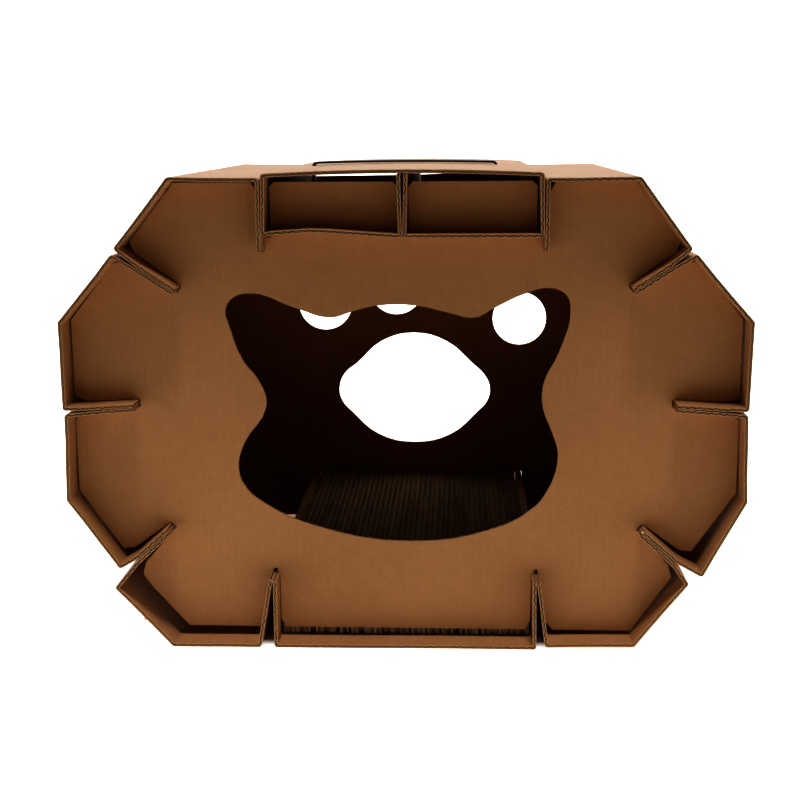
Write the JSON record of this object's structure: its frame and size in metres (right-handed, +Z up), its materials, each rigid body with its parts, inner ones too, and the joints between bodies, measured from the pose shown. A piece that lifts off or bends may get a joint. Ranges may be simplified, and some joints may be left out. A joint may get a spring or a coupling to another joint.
{
  "type": "cardboard cat house",
  "caption": "Octagonal corrugated-cardboard cat house with a cat-head doorway, a paw cut-out at the back, a carry handle and a loose scratching pad.",
  "frame": {"origin": "on the ground, under the middle of the house", "axes": "+X to the right of somebody facing the door, +Y from the door to the back, +Z up"},
  "size_m": [0.55, 0.4, 0.393],
  "materials": {
    "kraft_board": "matt kraft liner",
    "kraft_pad": "cut flutes, matt",
    "dark_plastic": "satin moulded"
  },
  "bodies": {
    "house": {"floor_channel": "kraft_board", "floor_corner_right": "kraft_board", "floor_corner_left": "kraft_board", "lower_side_right": "kraft_board", "lower_side_left": "kraft_board", "upper_side_right": "kraft_board", "upper_side_left": "kraft_board", "roof_corner_right": "kraft_board", "roof_corner_left": "kraft_board", "roof_beam": "kraft_board", "front_panel": "kraft_board", "rear_panel": "kraft_board"},
    "handle": {"carry_handle": "dark_plastic"},
    "pad": {"scratch_pad": "kraft_pad"}
  },
  "joints": [
    {"name": "handle_lift", "type": "slide", "parent": "house", "child": "handle", "axis": [0, 0, 1], "range_m": [0, 0.02]},
    {"name": "pad_lift", "type": "slide", "parent": "house", "child": "pad", "axis": [0, 0, 1], "range_m": [0, 0.06]}
  ]
}
